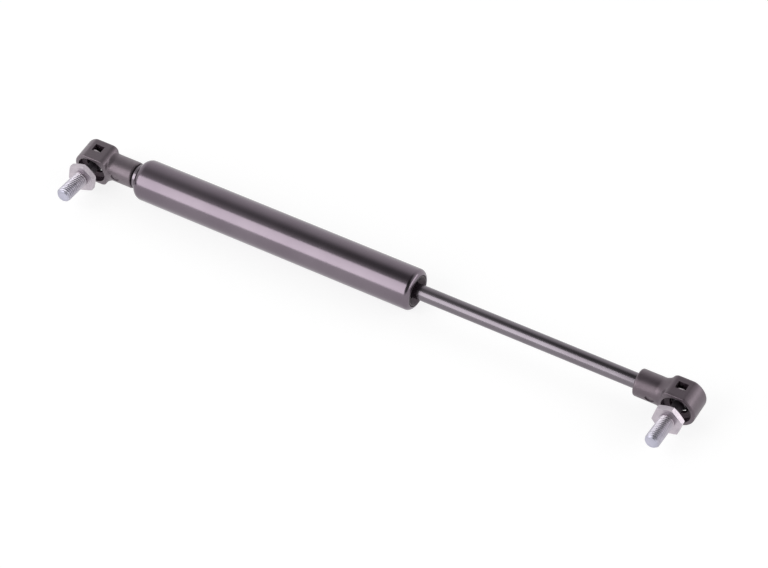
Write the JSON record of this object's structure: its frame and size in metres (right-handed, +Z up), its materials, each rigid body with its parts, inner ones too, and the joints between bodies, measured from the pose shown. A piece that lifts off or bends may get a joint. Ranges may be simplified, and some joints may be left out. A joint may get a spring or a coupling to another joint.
{
  "type": "gas strut stay",
  "caption": "Gas spring stay: black pressure tube and sliding rod, with a plastic angle ball socket and a zinc ball stud on each end, both studs facing the same way.",
  "frame": {"origin": "bottom centre of the bounding box of the strut at full length, lying on its tube", "axes": "+X along the strut from the tube end to the rod end, both ball studs point to -Y, +Z up"},
  "size_m": [0.3602, 0.044, 0.022],
  "materials": {
    "tube_paint": "gloss black paint",
    "rod": "black nitrided and polished",
    "cap_plastic": "matt black moulding",
    "socket": "satin black glass-filled moulding",
    "zinc": "bright zinc plate with a faint blue tint",
    "steel": "plain bright steel",
    "rubber": "matt black rubber",
    "guide": "natural moulding",
    "liner": "bronze strip",
    "piston": "as turned",
    "ring": "natural moulding"
  },
  "bodies": {
    "barrel": {"pressure_tube": "tube_paint", "end_plug": "tube_paint", "end_plug_o_ring": "rubber", "front_cap": "cap_plastic", "guide_bush": "guide", "guide_liner": "liner", "guide_o_ring": "rubber", "rod_seal": "rubber", "seal_washer": "steel"},
    "ring": {"piston_ring": "ring"},
    "rod": {"piston_rod": "rod", "piston_front_washer": "steel", "piston_body": "piston", "piston_back_washer": "steel"},
    "tube_socket": {"tube_ball_socket": "socket", "tube_retaining_clip": "steel"},
    "tube_stud": {"tube_ball_stud": "zinc"},
    "rod_socket": {"rod_ball_socket": "socket", "rod_retaining_clip": "steel"},
    "rod_stud": {"rod_ball_stud": "zinc"}
  },
  "joints": [
    {"name": "rod_slide", "type": "slide", "parent": "barrel", "child": "ring", "axis": [1, 0, 0], "range_m": [-0.12, 0], "stiffness_N_per_m": 125, "springref_m": 0.4},
    {"name": "rod_spin", "type": "hinge", "parent": "ring", "child": "rod", "pos_m": [0, 0.011, 0.011], "axis": [1, 0, 0], "continuous": true},
    {"name": "rod_socket_turn", "type": "hinge", "parent": "rod", "child": "rod_socket", "pos_m": [0.17, 0.011, 0.011], "axis": [1, 0, 0], "range_deg": [-180, 180]},
    {"name": "rod_stud_swivel", "type": "hinge", "parent": "rod_socket", "child": "rod_stud", "pos_m": [0.17, 0.011, 0.011], "axis": [0, 1, 0], "continuous": true},
    {"name": "tube_socket_turn", "type": "hinge", "parent": "barrel", "child": "tube_socket", "pos_m": [-0.17, 0.011, 0.011], "axis": [1, 0, 0], "range_deg": [-180, 180]},
    {"name": "tube_stud_swivel", "type": "hinge", "parent": "tube_socket", "child": "tube_stud", "pos_m": [-0.17, 0.011, 0.011], "axis": [0, 1, 0], "continuous": true}
  ]
}
